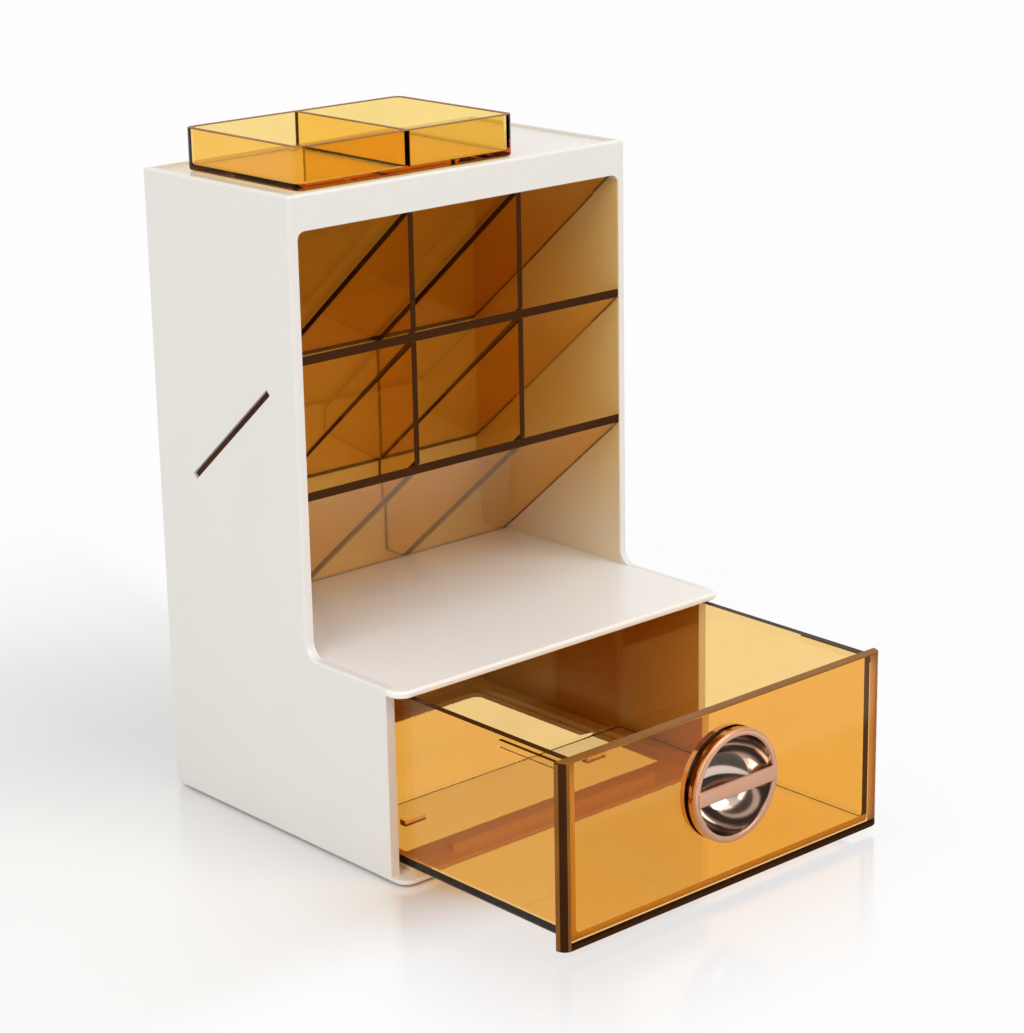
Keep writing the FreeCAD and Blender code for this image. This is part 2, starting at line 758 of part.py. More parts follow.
def pull_bar():
    """The bar across the bowl, flat where its ends lie on the rim and slightly bowed between."""
    body = new_body("pull_bar")
    place_on_pull(body)
    half = "(Sizes.pull_radius - Sizes.bar_end_inset)"
    under_bow = "(Sizes.pull_opening_radius ^ 2 / 2 / Sizes.bar_bow + Sizes.bar_bow / 2)"
    over_bow = f"({half} ^ 2 / 2 / Sizes.bar_bow + Sizes.bar_bow / 2)"
    over = "(Sizes.pull_rim_height + Sizes.bar_thickness)"
    profile = [
        (f"(-{half})", "Sizes.pull_rim_height"),
        ("(-Sizes.pull_opening_radius)", "Sizes.pull_rim_height", under_bow, -1),
        ("Sizes.pull_opening_radius", "Sizes.pull_rim_height"),
        (half, "Sizes.pull_rim_height"),
        (half, over, over_bow, 1),
        (f"(-{half})", over),
    ]
    pad(body, outline(body, "profile", "XZ", profile, "(-Sizes.bar_width / 2)"), "Sizes.bar_width")
    end = value(half)
    round_edges(
        body,
        "ends",
        "Sizes.bar_end_radius",
        lambda box: (lies_at(box, "X", end) or lies_at(box, "X", -end)) and box.ZLength > tolerance,
    )
    return body


def pull_retaining_ring():
    """The ring that holds the bowl from behind the front plate."""
    body = new_body("pull_retaining_ring")
    place_on_pull(body)
    inner = f"({bowl_outer_at('Sizes.front_thickness')} + Sizes.fit_gap)"
    near = "(-Sizes.front_thickness)"
    far = "(-Sizes.front_thickness - Sizes.retainer_thickness)"
    profile = rectangle(inner, "Sizes.pull_radius", far, near)
    revolve(body, outline(body, "profile", "XZ", profile))
    return body


# ------------------------------------------------------------------ loose tray


def top_tray():
    """The loose tray: one moulding with a partition, lying in the recess near its left end."""
    body = new_body("top_tray")
    left = f"(-{half_width} + Sizes.recess_rim + Sizes.tray_side_gap)"
    right = f"({left} + Sizes.tray_length)"
    front = "(Sizes.column_front + Sizes.recess_rim + Sizes.tray_front_gap)"
    back = f"({front} + Sizes.tray_width)"
    bottom = f"({recess_floor} + Sizes.tray_seat_gap)"
    top = f"({bottom} + Sizes.tray_height)"
    plan = rectangle(left, right, front, back)
    pad(body, outline(body, "plan", "XY", plan, bottom), "Sizes.tray_height")
    sides = (value(left), value(right))
    ends = (value(front), value(back))
    under = value(bottom)

    round_edges(body, "corners", "Sizes.tray_corner_radius", lambda box: upright_at(box, sides, ends))
    round_edges(body, "lower_edge", "(Sizes.tray_wall / 2)", lambda box: lies_at(box, "Z", under))
    middle = f"(({left} + {right}) / 2)"
    half_wall = "(Sizes.tray_wall / 2)"
    inner_front = f"({front} + Sizes.tray_wall)"
    inner_back = f"({back} - Sizes.tray_wall)"
    depth = "(Sizes.tray_height - Sizes.tray_wall)"
    for name, low, high in (
        ("left_compartment", f"({left} + Sizes.tray_wall)", f"({middle} - {half_wall})"),
        ("right_compartment", f"({middle} + {half_wall})", f"({right} - Sizes.tray_wall)"),
    ):
        inside = rectangle(low, high, inner_front, inner_back)
        pocket(body, outline(body, name, "XY", inside, top), depth)
    inner_ends = (value(inner_front), value(inner_back))
    inner_sides = (value(f"{left} + Sizes.tray_wall"), value(f"{right} - Sizes.tray_wall"))
    floor = value(f"{bottom} + Sizes.tray_wall")
    round_edges(
        body,
        "inner_corners",
        "(Sizes.tray_corner_radius - Sizes.tray_wall / 2)",
        lambda box: upright_at(box, inner_sides, inner_ends),
    )
    round_edges(body, "floor_corners", "(Sizes.tray_wall / 2)", lambda box: lies_at(box, "Z", floor))
    return body


# ------------------------------------------------------------------ the whole part

feet_front = "Sizes.foot_inset"
feet_back = f"({back_inner} - Sizes.foot_inset)"

pieces = [
    side_panel("left_side_panel", -1),
    side_panel("right_side_panel", 1),
    top_panel(),
    deck_panel(),
    base_panel(),
    back_panel(),
    slant_sheet("upper"),
    middle_sheet(),
    slant_sheet("lower"),
    divider("divider_left", -1),
    divider("divider_right", 1),
    drawer_tub(),
    drawer_front(),
    pull_cup(),
    pull_bar(),
    pull_retaining_ring(),
    top_tray(),
    foot("foot_front_left", -1, feet_front),
    foot("foot_front_right", 1, feet_front),
    foot("foot_back_left", -1, feet_back),
    foot("foot_back_right", 1, feet_back),
]
document.recompute()

for item in document.Objects:
    if "Invalid" in item.State or "Error" in item.State:
        raise RuntimeError(f"{item.Label}: {item.State}")
for piece in pieces:
    if piece.Shape.isNull() or not piece.Shape.isValid() or len(piece.Shape.Solids) != 1:
        raise RuntimeError(f"{piece.Label}: its shape is not one valid solid")

os.makedirs("parts", exist_ok=True)
for piece in pieces:
    piece.Shape.exportStep(f"parts/{piece.Label}.step")
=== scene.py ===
import json
import math

import bmesh
import bpy
from mathutils import Matrix, Vector

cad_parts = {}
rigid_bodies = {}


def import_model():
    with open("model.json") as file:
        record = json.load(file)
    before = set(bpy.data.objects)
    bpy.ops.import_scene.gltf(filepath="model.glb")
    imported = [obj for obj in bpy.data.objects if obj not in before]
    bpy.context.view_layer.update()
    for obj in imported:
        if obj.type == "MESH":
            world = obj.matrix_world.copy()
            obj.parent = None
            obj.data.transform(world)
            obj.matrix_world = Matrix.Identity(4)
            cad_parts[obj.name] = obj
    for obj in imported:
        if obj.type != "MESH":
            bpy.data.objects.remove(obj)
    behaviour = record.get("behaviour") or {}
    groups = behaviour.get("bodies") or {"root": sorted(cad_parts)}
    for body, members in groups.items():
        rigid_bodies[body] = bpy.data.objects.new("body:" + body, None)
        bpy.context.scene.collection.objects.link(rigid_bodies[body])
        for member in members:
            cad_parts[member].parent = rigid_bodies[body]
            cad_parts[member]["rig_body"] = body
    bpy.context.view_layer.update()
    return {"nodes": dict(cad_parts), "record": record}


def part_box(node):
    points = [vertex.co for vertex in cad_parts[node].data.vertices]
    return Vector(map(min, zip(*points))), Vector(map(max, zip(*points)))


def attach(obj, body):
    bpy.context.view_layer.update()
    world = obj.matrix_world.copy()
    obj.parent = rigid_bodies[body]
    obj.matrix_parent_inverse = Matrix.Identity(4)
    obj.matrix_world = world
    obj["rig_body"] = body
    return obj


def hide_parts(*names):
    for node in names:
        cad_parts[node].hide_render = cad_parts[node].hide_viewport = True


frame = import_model()
nodes = frame["nodes"]
print("frame loaded:", len(nodes), "nodes")

scene = bpy.context.scene
scene.view_settings.view_transform = "Standard"


cameraValues = {
    "place": (-0.53119, -0.59567, 0.33797),
    "turn": -41.576,  # degrees around Z, 0 looks along +Y
    "tilt": 72.982,  # degrees up from straight down
    "roll": -1.046,
    "lens": 97.91,
    "sensor": 36.0,
    "clipStart": 0.01,
}


def addObject(name, data):
    holder = bpy.data.objects.new(name, data)
    scene.collection.objects.link(holder)
    return holder


def addCamera(values):
    camera = bpy.data.cameras.new("camera")
    camera.lens = values["lens"]
    camera.sensor_width = values["sensor"]
    camera.sensor_fit = "AUTO"
    camera.clip_start = values["clipStart"]
    holder = addObject("camera", camera)
    turn = Matrix.Rotation(math.radians(values["turn"]), 4, "Z")
    tilt = Matrix.Rotation(math.radians(values["tilt"]), 4, "X")
    roll = Matrix.Rotation(math.radians(values["roll"]), 4, "Z")
    holder.matrix_world = Matrix.Translation(values["place"]) @ turn @ tilt @ roll
    scene.camera = holder


def newTree(name):
    material = bpy.data.materials.new(name)
    material.use_nodes = True
    material.node_tree.nodes.clear()
    return material, material.node_tree


def addNode(tree, kind, **settings):
    node = tree.nodes.new(kind)
    for name, value in settings.items():
        setattr(node, name, value)
    return node


def addMath(tree, operation, first, second=None, clamp=False):
    node = addNode(tree, "ShaderNodeMath", operation=operation, use_clamp=clamp)
    for socket, source in zip(node.inputs, (first, second)):
        if source is None:
            continue
        if isinstance(source, (int, float)):
            socket.default_value = source
        else:
            tree.links.new(source, socket)
    return node.outputs[0]


def addRange(tree, source, low, high, toLow, toHigh):
    node = addNode(tree, "ShaderNodeMapRange", interpolation_type="SMOOTHSTEP")
    tree.links.new(source, node.inputs["Value"])
    node.inputs["From Min"].default_value = low
    node.inputs["From Max"].default_value = high
    node.inputs["To Min"].default_value = toLow
    node.inputs["To Max"].default_value = toHigh
    return node.outputs["Result"]


def addVector(tree, operation, source, second=(0, 0, 0)):
    node = addNode(tree, "ShaderNodeVectorMath", operation=operation)
    tree.links.new(source, node.inputs[0])
    node.inputs[1].default_value = second
    return node


def addAxes(tree, source):
    axes = addNode(tree, "ShaderNodeSeparateXYZ")
    tree.links.new(source, axes.inputs[0])
    return axes.outputs


def mixShaders(tree, share, first, second):
    mix = addNode(tree, "ShaderNodeMixShader")
    for socket, source in zip(mix.inputs, (share, first, second)):
        tree.links.new(source, socket)
    return mix.outputs[0]


def addOutput(tree, surface, kind="ShaderNodeOutputMaterial"):
    output = addNode(tree, kind)
    tree.links.new(surface, output.inputs["Surface"])
    return output


floorValues = {
    "size": 12.0,
    "colour": (0.87, 0.868, 0.866, 1),
    "roughness": 0.3,
    "centre": (0.0, 0.002, 0.0),  # middle of the object's footprint
    "half": (0.066, 0.092, 1.0),
    "backdrop": (0.985, 0.985, 0.985, 1),
    "backdropNear": 0.0,
    "backdropThrough": 0.9,  # share seen through the plastic
    "backdropStart": 0.02,  # metres from the footprint
    "backdropEnd": 0.30,
    "frontNear": 0.82,  # in front and to the right the shadow is short
    "frontFar": 0.95,
    "frontEnd": 0.025,
    "front": (-0.06, -0.02),  # y over which the front begins
    "right": (0.0, 0.06),  # x over which the right begins
    "tableEnd": -0.30,  # y where mirrored rays start to lose the table
    "tableGone": -0.42,
    "tableLoss": 0.96,
    "tableLit": -0.157,  # and close by they meet the drawer's own shade
    "tableShade": -0.145,
    "tableDark": 0.92,
    "plateFoot": (-0.088, -0.084),  # y under the plate where that shade ends
    "mirrorRoughness": 0.12,
    "mirrorNear": 0.16,
    "mirrorEnd": 0.06,
}


def addFloor(values):
    mesh = bpy.data.meshes.new("floor")
    shape = bmesh.new()
    bmesh.ops.create_grid(shape, x_segments=1, y_segments=1, size=values["size"] / 2)
    shape.to_mesh(mesh)
    shape.free()
    floor = addObject("floor", mesh)
    material, tree = newTree("floorWhite")
    shader = addNode(tree, "ShaderNodeBsdfPrincipled")
    shader.inputs["Base Color"].default_value = values["colour"]
    shader.inputs["Roughness"].default_value = values["roughness"]

    # distance from the footprint's rectangle
    place = addNode(tree, "ShaderNodeTexCoord")
    middle = addVector(tree, "SUBTRACT", place.outputs["Object"], values["centre"])
    size = addVector(tree, "ABSOLUTE", middle.outputs[0])
    beyond = addVector(tree, "SUBTRACT", size.outputs[0], values["half"])
    outside = addVector(tree, "MAXIMUM", beyond.outputs[0])
    away = addVector(tree, "LENGTH", outside.outputs[0]).outputs["Value"]

    # rays that show the floor: seen, mirrored or seen through the plastic
    path = addNode(tree, "ShaderNodeLightPath")
    seen = addMath(tree, "MAXIMUM", path.outputs["Is Camera Ray"], path.outputs["Is Glossy Ray"])
    through = addMath(tree, "MULTIPLY", path.outputs["Is Transmission Ray"], values["backdropThrough"])

    mirror = addNode(tree, "ShaderNodeBsdfGlossy")
    mirror.inputs["Color"].default_value = (1, 1, 1, 1)
    mirror.inputs["Roughness"].default_value = values["mirrorRoughness"]
    mirrorShare = addRange(tree, away, 0.0, values["mirrorEnd"], values["mirrorNear"], 0.0)
    mirrorShare = addMath(tree, "MULTIPLY", mirrorShare, path.outputs["Is Camera Ray"])

    backdrop = addNode(tree, "ShaderNodeEmission")
    backdrop.inputs["Color"].default_value = values["backdrop"]
    axes = addAxes(tree, place.outputs["Object"])
    # mirrored rays see the floor's glow fade far off, and darkened in a band just before the drawer as
    # painted shade
    gone = addRange(tree, axes["Y"], values["tableGone"], values["tableEnd"], values["tableLoss"], 0.0)
    shade = addRange(tree, axes["Y"], values["tableLit"], values["tableShade"], 0.0, values["tableDark"])
    shade = addMath(tree, "MULTIPLY", shade, addRange(tree, axes["Y"], *values["plateFoot"], 1.0, 0.0))
    gone = addMath(tree, "MAXIMUM", gone, shade)
    glossy = path.outputs["Is Glossy Ray"]
    mirrored = addMath(tree, "SUBTRACT", glossy, path.outputs["Is Transmission Ray"], clamp=True)
    gone = addMath(tree, "MULTIPLY", gone, mirrored)
    tree.links.new(addMath(tree, "SUBTRACT", 1.0, gone), backdrop.inputs["Strength"])
    backdropShare = addRange(
        tree, away, values["backdropStart"], values["backdropEnd"], values["backdropNear"], 1.0
    )
    before = addRange(tree, axes["Y"], *values["front"], 1.0, 0.0)
    beside = addRange(tree, axes["X"], *values["right"], 0.0, 1.0)
    short = addRange(tree, away, 0.0, values["frontEnd"], values["frontNear"], values["frontFar"])
    short = addMath(tree, "MULTIPLY", short, addMath(tree, "MAXIMUM", before, beside))
    backdropShare = addMath(tree, "MAXIMUM", backdropShare, short)
    backdropShare = addMath(tree, "MULTIPLY", backdropShare, seen)
    backdropShare = addMath(tree, "MAXIMUM", backdropShare, through)

    lit = mixShaders(tree, backdropShare, shader.outputs["BSDF"], backdrop.outputs[0])
    addOutput(tree, mixShaders(tree, mirrorShare, lit, mirror.outputs[0]))
    mesh.materials.append(material)


worldValues = {
    "light": (1.0, 0.995, 0.985, 1),
    "strength": 0.62,
    "backdrop": (1, 1, 1, 1),
    "roomStrength": 0.95,  # what polished metal mirrors overhead and behind
    "roomDark": 0.06,  # and low down in front, where the studio is unlit
    "roomRise": (0.45, 0.95),  # share of the way up over which it gets light
    "roomBack": (-0.15, 0.35),  # and of the way back
}


def addWorld(values):
    world = bpy.data.worlds.new("studio")
    scene.world = world
    world.use_nodes = True
    tree = world.node_tree
    tree.nodes.clear()
    light = addNode(tree, "ShaderNodeBackground")
    light.inputs["Color"].default_value = values["light"]
    light.inputs["Strength"].default_value = values["strength"]
    backdrop = addNode(tree, "ShaderNodeBackground")
    backdrop.inputs["Color"].default_value = values["backdrop"]
    path = addNode(tree, "ShaderNodeLightPath")

    # the unlit room before the object, for mirrored rays
    place = addNode(tree, "ShaderNodeTexCoord")
    axes = addAxes(tree, place.outputs["Generated"])
    high = addRange(tree, axes["Z"], *values["roomRise"], 0.0, 1.0)
    behind = addRange(tree, axes["Y"], *values["roomBack"], 0.0, 1.0)
    lit = addMath(tree, "MAXIMUM", high, behind)
    level = addRange(tree, lit, 0.0, 1.0, values["roomDark"], values["roomStrength"])
    room = addNode(tree, "ShaderNodeBackground")
    room.inputs["Color"].default_value = values["light"]
    tree.links.new(level, room.inputs["Strength"])

    seen = addMath(tree, "MAXIMUM", path.outputs["Is Camera Ray"], path.outputs["Is Transmission Ray"])
    mirrored = mixShaders(tree, path.outputs["Is Glossy Ray"], light.outputs[0], room.outputs[0])
    addOutput(tree, mixShaders(tree, seen, mirrored, backdrop.outputs[0]), "ShaderNodeOutputWorld")


lampValues = {
    # name: place, target, width, height, power, colour
    "softboxLeft": ((-1.3, -0.35, 0.9), (0, 0, 0.1), 1.0, 1.2, 7.6, (1.0, 0.985, 0.96)),
    "softboxFront": ((0.35, -1.1, 1.2), (0, 0, 0.08), 1.1, 0.9, 10.0, (1.0, 0.985, 0.96)),
    "softboxTop": ((0.15, -0.25, 1.5), (0, 0, 0.1), 1.0, 0.8, 2.0, (1.0, 1.0, 1.0)),
}


def addLamps(values):
    for name, (place, target, width, height, power, colour) in values.items():
        lamp = bpy.data.lights.new(name, "AREA")
        lamp.shape = "RECTANGLE"
        lamp.size = width
        lamp.size_y = height
        lamp.energy = power
        lamp.color = colour
        holder = addObject(name, lamp)
        holder.location = place
        holder.rotation_euler = (Vector(target) - Vector(place)).to_track_quat("-Z", "Y").to_euler()


addCamera(cameraValues)
addFloor(floorValues)
addWorld(worldValues)
addLamps(lampValues)
print("studio ready")


unevenValues = {
    "waveDetail": 2,
    "grainDetail": 3,
    "markScale": 35,
    "markDetail": 5,
    "markRange": (0.42, 0.72),  # noise level over which a mark shows
}


def makeUneven(values):
    group = bpy.data.node_groups.new("unevenSkin", "ShaderNodeTree")
    for name, default in (("Wave Scale", 60.0), ("Grain Scale", 2500.0), ("Wave Share", 0.5)):
        socket = group.interface.new_socket(name, in_out="INPUT", socket_type="NodeSocketFloat")
        socket.default_value = default
    for name in ("Height", "Mask"):
        group.interface.new_socket(name, in_out="OUTPUT", socket_type="NodeSocketFloat")
    entry = addNode(group, "NodeGroupInput")
    out = addNode(group, "NodeGroupOutput")
    place = addNode(group, "ShaderNodeTexCoord")
    wave = addNode(group, "ShaderNodeTexNoise")
    wave.inputs["Detail"].default_value = values["waveDetail"]
    group.links.new(place.outputs["Object"], wave.inputs["Vector"])
    group.links.new(entry.outputs["Wave Scale"], wave.inputs["Scale"])
    grain = addNode(group, "ShaderNodeTexNoise")
    grain.inputs["Detail"].default_value = values["grainDetail"]
    group.links.new(place.outputs["Object"], grain.inputs["Vector"])
    group.links.new(entry.outputs["Grain Scale"], grain.inputs["Scale"])
    mix = addNode(group, "ShaderNodeMix", data_type="FLOAT")
    group.links.new(entry.outputs["Wave Share"], mix.inputs["Factor"])
    group.links.new(grain.outputs["Fac"], mix.inputs["A"])
    group.links.new(wave.outputs["Fac"], mix.inputs["B"])
    group.links.new(mix.outputs["Result"], out.inputs["Height"])
    marks = addNode(group, "ShaderNodeTexNoise")
    marks.inputs["Scale"].default_value = values["markScale"]
    marks.inputs["Detail"].default_value = values["markDetail"]
    group.links.new(place.outputs["Object"], marks.inputs["Vector"])
    mask = addRange(group, marks.outputs["Fac"], *values["markRange"], 0.0, 1.0)
    group.links.new(mask, out.inputs["Mask"])
    return group


unevenSkin = makeUneven(unevenValues)


def addSkin(tree, shader, values):
    skin = addNode(tree, "ShaderNodeGroup", node_tree=unevenSkin)
    skin.inputs["Wave Scale"].default_value = values["waveScale"]
    skin.inputs["Grain Scale"].default_value = values["grainScale"]
    skin.inputs["Wave Share"].default_value = values["waveShare"]
    bump = addNode(tree, "ShaderNodeBump")
    bump.inputs["Strength"].default_value = values["bump"]
    bump.inputs["Distance"].default_value = values["bumpDepth"]
    tree.links.new(skin.outputs["Height"], bump.inputs["Height"])
    tree.links.new(bump.outputs["Normal"], shader.inputs["Normal"])
    rough = addRange(tree, skin.outputs["Mask"], 0.0, 1.0, values["roughness"], values["roughnessMarked"])
    tree.links.new(rough, shader.inputs["Roughness"])
    tint = addNode(tree, "ShaderNodeMix", data_type="RGBA")
    tint.inputs["A"].default_value = values["colour"]
    tint.inputs["B"].default_value = values["colourMarked"]
    tree.links.new(skin.outputs["Mask"], tint.inputs["Factor"])
    tree.links.new(tint.outputs["Result"], shader.inputs["Base Color"])


# painted light: a warm amber tint multiplied into the white plastic's colour where the sheets' light
# falls on the right wall
paintedAmberLightValues = {
    "colour": (1.0, 0.70, 0.27, 1),
    "inner": (0.060, 0.061),  # the right wall's inner face lies between these two in x
    "outer": (0.0622, 0.0626),
    "front": (0.0195, 0.0225),  # y over which the painted light sets in
    "back": (0.0890, 0.0894),
    "under": (0.0605, 0.115),  # z over which it grows from its least to full
    "least": 0.55,
    "above": (0.1835, 0.1845),
}


def addPaintedAmberLight(tree, shader, values):
    # painted light: the amber light that the sheets throw on the white walls between them is painted into
    # the white's colour as a warm tint
    place = addNode(tree, "ShaderNodeTexCoord")
    axes = addAxes(tree, place.outputs["Object"])
    share = addRange(tree, axes["Z"], *values["under"], values["least"], 1.0)
    # axis, where the painted light begins or ends along it, its share before and after
    limits = (
        ("X", "inner", 0.0, 1.0), ("X", "outer", 1.0, 0.0),
        ("Y", "front", 0.0, 1.0), ("Y", "back", 1.0, 0.0), ("Z", "above", 1.0, 0.0),
    )
    for axis, limit, before, after in limits:
        within = addRange(tree, axes[axis], *values[limit], before, after)
        share = addMath(tree, "MULTIPLY", share, within)
    plain = shader.inputs["Base Color"].links[0].from_socket
    paintedAmberLight = addNode(tree, "ShaderNodeMix", data_type="RGBA", blend_type="MULTIPLY")
    paintedAmberLight.inputs["B"].default_value = values["colour"]
    tree.links.new(share, paintedAmberLight.inputs["Factor"])
    tree.links.new(plain, paintedAmberLight.inputs["A"])
    tree.links.new(paintedAmberLight.outputs["Result"], shader.inputs["Base Color"])


whiteValues = {
    "colour": (0.80, 0.775, 0.74, 1),
    "colourMarked": (0.79, 0.765, 0.73, 1),
    "roughness": 0.25,
    "roughnessMarked": 0.27,
    "specular": 0.5,
    "waveScale": 14.0,
    "grainScale": 2600.0,
    "waveShare": 0.9,
    "bump": 0.015,
    "bumpDepth": 0.0001,
}


def makeWhite(name, values, paintedAmberLight=None):
    material, tree = newTree(name)
    shader = addNode(tree, "ShaderNodeBsdfPrincipled")
    shader.inputs["Specular IOR Level"].default_value = values["specular"]
    addSkin(tree, shader, values)
    if paintedAmberLight:
        addPaintedAmberLight(tree, shader, paintedAmberLight)
    addOutput(tree, shader.outputs["BSDF"])
    return material


amberValues = {
    "colour": (0.99, 0.79, 0.34, 1),
    "colourMarked": (0.985, 0.77, 0.32, 1),
    "roughness": 0.012,
    "roughnessMarked": 0.03,
    "waveScale": 30.0,
    "grainScale": 900.0,
    "waveShare": 0.92,
    "bump": 0.05,
    "bumpDepth": 0.0006,
    "ior": 1.49,
    "specularTint": (0.45, 0.36, 0.22, 1),
    "absorb": (0.91, 0.64, 0.07, 1),
    "density": 100.0,
    "lampThrough": (0.97, 0.86, 0.55, 1),  # what lamp light keeps at each face it passes
    "bounceThrough": (0.97, 0.84, 0.50, 1),  # and what bounced light keeps
}
drawerAmberValues = dict(
    amberValues,
    colour=(0.985, 0.75, 0.35, 1),
    colourMarked=(0.98, 0.73, 0.33, 1),
    absorb=(0.90, 0.60, 0.09, 1),
    density=110.0,
    lampThrough=(0.92, 0.78, 0.48, 1),
    bounceThrough=(0.93, 0.76, 0.42, 1),
)


def makeAmber(name, values):
    material, tree = newTree(name)
    shader = addNode(tree, "ShaderNodeBsdfPrincipled")
    shader.inputs["IOR"].default_value = values["ior"]
    shader.inputs["Specular Tint"].default_value = values["specularTint"]
    shader.inputs["Transmission Weight"].default_value = 1
    addSkin(tree, shader, values)
    absorb = addNode(tree, "ShaderNodeVolumeAbsorption")
    absorb.inputs["Color"].default_value = values["absorb"]
    absorb.inputs["Density"].default_value = values["density"]

    # lamps and white walls light each other straight through the sheets
    path = addNode(tree, "ShaderNodeLightPath")
    keep = addNode(tree, "ShaderNodeMix", data_type="RGBA")
    keep.inputs["A"].default_value = values["bounceThrough"]
    keep.inputs["B"].default_value = values["lampThrough"]
    tree.links.new(path.outputs["Is Shadow Ray"], keep.inputs["Factor"])
    clear = addNode(tree, "ShaderNodeBsdfTransparent")
    tree.links.new(keep.outputs["Result"], clear.inputs["Color"])
    unseen = addMath(tree, "MAXIMUM", path.outputs["Is Shadow Ray"], path.outputs["Is Diffuse Ray"])
    output = addOutput(tree, mixShaders(tree, unseen, shader.outputs["BSDF"], clear.outputs[0]))
    tree.links.new(absorb.outputs[0], output.inputs["Volume"])
    return material


roseValues = {
    "metallic": 1.0,
    "colour": (0.72, 0.41, 0.27, 1),
    "colourMarked": (0.68, 0.37, 0.23, 1),
    "roughness": 0.07,
    "roughnessMarked": 0.13,
    "waveScale": 80.0,
    "grainScale": 1500.0,
    "waveShare": 0.8,
    "bump": 0.03,
    "bumpDepth": 0.0003,
}
paleValues = dict(roseValues, colour=(0.72, 0.58, 0.50, 1), colourMarked=(0.68, 0.54, 0.46, 1))
satinValues = dict(
    roseValues,
    metallic=0.4,
    colour=(0.80, 0.44, 0.29, 1),
    colourMarked=(0.76, 0.41, 0.26, 1),
    roughness=0.28,
    roughnessMarked=0.34,
)


def makeRose(name, values):
    material, tree = newTree(name)
    shader = addNode(tree, "ShaderNodeBsdfPrincipled")
    shader.inputs["Metallic"].default_value = values["metallic"]
    addSkin(tree, shader, values)
    addOutput(tree, shader.outputs["BSDF"])
    return material


# painted light: the deck is the same white plastic as the housing, in a lighter copy that makes up for
# the light it lacks in the column's shade
deckPaintedLightValues = dict(whiteValues, colour=(0.90, 0.86, 0.815, 1), colourMarked=(0.89, 0.85, 0.805, 1))
# painted shade: an opaque dark brown on the amber's cut edges, eased edges and foot strips, standing in
# for the dark that the plastic's depth shows there
edgeShadeValues = {
    "colour": (0.052, 0.016, 0.002, 1),
    "colourMarked": (0.042, 0.012, 0.0015, 1),
    "roughness": 0.34,
    "roughnessMarked": 0.42,
    "specular": 0.08,
    "waveScale": 90.0,
    "grainScale": 2600.0,
    "waveShare": 0.9,
    "bump": 0.02,
    "bumpDepth": 0.0002,
}
# painted shade: a lighter brown for the top rims and the plate's rounded sides, where the plastic's depth
# shows a paler dark
rimShadeValues = dict(edgeShadeValues, colour=(0.26, 0.10, 0.016, 1), colourMarked=(0.21, 0.08, 0.012, 1))
# painted light: a pale amber on the tub walls' front ends, for the lit plastic seen through the plate
endLightValues = dict(edgeShadeValues, colour=(0.90, 0.72, 0.42, 1), colourMarked=(0.86, 0.68, 0.38, 1))
# painted reflection: a mauve strip on the plate's back beyond the tub's wall, for the reflection in its
# rounded end
stripReflectionValues = dict(edgeShadeValues, colour=(0.82, 0.60, 0.52, 1), colourMarked=(0.78, 0.56, 0.48, 1))

rubberValues = {
    "colour": (0.70, 0.70, 0.68, 1),
    "colourMarked": (0.60, 0.60, 0.58, 1),
    "roughness": 0.55,
    "roughnessMarked": 0.7,
    "specular": 0.4,
    "waveScale": 120.0,
    "grainScale": 3000.0,
    "waveShare": 0.4,
    "bump": 0.1,
    "bumpDepth": 0.0003,
}

finishes = {
    "white_plastic": makeWhite("whitePlastic", whiteValues, paintedAmberLightValues),
    "amber_plastic": makeAmber("amberPlastic", amberValues),
    "rose_gold": makeRose("roseGold", roseValues),
    "clear_rubber": makeWhite("clearRubber", rubberValues),
}
drawerAmber = makeAmber("amberDrawer", drawerAmberValues)
paleGold = makeRose("paleGold", paleValues)
satinRose = makeRose("satinRose", satinValues)
cutEdgeShade = makeWhite("amberCutEdgePaintedShade", edgeShadeValues)
rimEdgeShade = makeWhite("amberRimPaintedShade", rimShadeValues)
deckPaintedLightWhite = makeWhite("deckPaintedLightWhite", deckPaintedLightValues)
paleEndLight = makeWhite("amberPaleEndPaintedLight", endLightValues)
mauveStripReflection = makeWhite("amberBackStripPaintedReflection", stripReflectionValues)

for part in frame["record"]["subparts"]:
    node = nodes[part["node"]]
    node.data.materials.clear()
    # the deck panel takes the lighter, painted-light copy of the white
    finish = deckPaintedLightWhite if node.name == "deck_panel" else finishes[part["material_slot"]]
    node.data.materials.append(finish)
print("materials ready")


sheetValues = {"run": 0.0566, "drop": 0.0483}  # the slanted sheets fall this much over that depth
sheetNormal = Vector((0, sheetValues["drop"], sheetValues["run"])).normalized()
slopeLine = Vector((0, sheetValues["run"], -sheetValues["drop"])).normalized()

pickValues = {
    "facing": 0.9,  # a face looks along an axis where its normal has this share of it
    "along": 0.95,  # and an edge runs along a line where it has this share of it
    "near": 0.0002,  # metres within which a corner lies at a level
    "end": 0.0005,  # and at a piece's front end
    "rim": 0.0015,  # metres below the top within which a face belongs to the rim
    "sharp": 30.0,  # degrees from which an edge counts as sharp
}

# the finishes of an eased piece's faces, in the order of its slots: clear plastic, the dark cut edge and
# brown rim (painted shade), the pale ends of the tub's walls (painted light), the mauve strip at the
# plate's back (painted reflection)
clearFace, darkFace, rimFace, paleFace, stripFace = range(5)


def isTopRim(face, high):
    isUp = face.normal.z > pickValues["facing"]
    return isUp and face.calc_center_median().z > high[2] - pickValues["rim"]


def sheetFinish(face, low, high):
    isFlat = abs(face.normal.dot(sheetNormal)) > pickValues["facing"]
    return clearFace if isFlat else darkFace


dividerValues = {
    # distances along the sheets' normal between which the sides are dark
    "strips": [(0.09725, 0.0983), (0.1249, 0.12564), (0.12785, 0.1286), (0.1549, 0.1562)],
    "cuts": [0.0983, 0.1249, 0.1286, 0.1549],  # where a strip ends on a plain side
    "slack": 0.0001,
}


